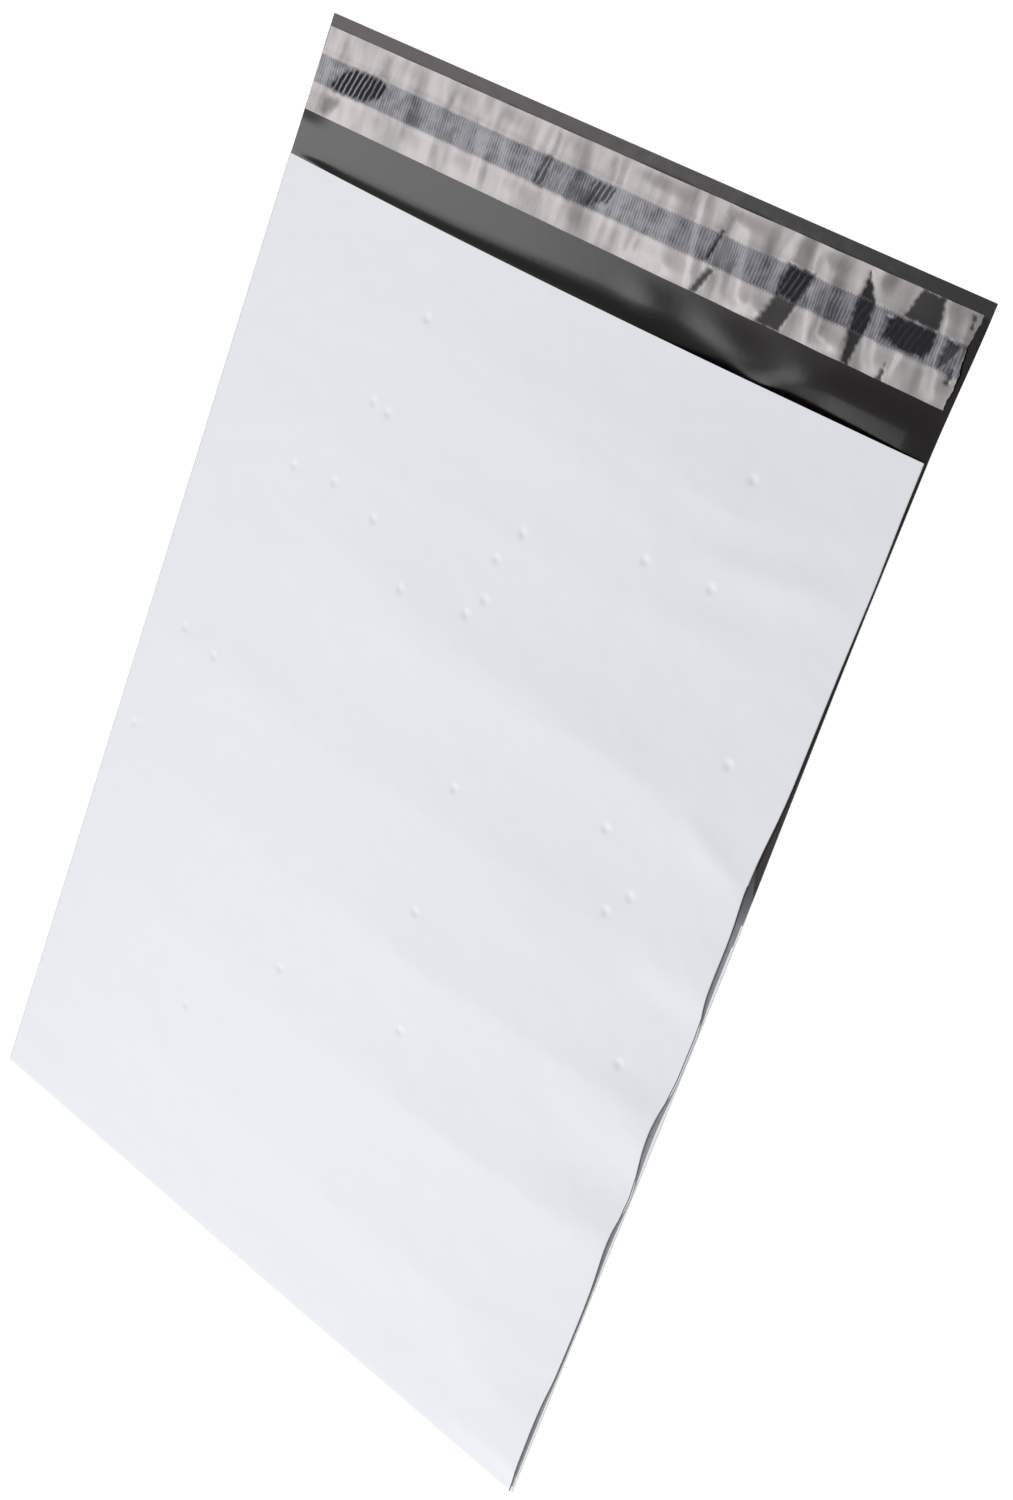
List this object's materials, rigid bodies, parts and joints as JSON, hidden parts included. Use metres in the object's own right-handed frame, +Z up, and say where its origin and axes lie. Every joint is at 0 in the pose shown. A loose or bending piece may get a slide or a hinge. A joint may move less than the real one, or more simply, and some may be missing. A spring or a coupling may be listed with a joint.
{
  "type": "poly mailer bag",
  "caption": "Empty white poly mailer lying face up, its mouth slightly open, its flap carrying an adhesive stripe under a puckered release liner.",
  "frame": {"origin": "on the table under the middle of the bag", "axes": "+X across the bag, +Y from the bottom fold to the free edge of the flap, +Z up from the table"},
  "size_m": [0.254, 0.381, 0.0076],
  "materials": {
    "film": "satin polyethylene film, white outside and black inside",
    "adhesive": "tacky hot-melt with fine cross ribs",
    "liner": "thin hazy release film"
  },
  "bodies": {
    "root": {"bag_film": "film", "adhesive_strip": "adhesive", "release_liner": "liner"}
  },
  "joints": []
}
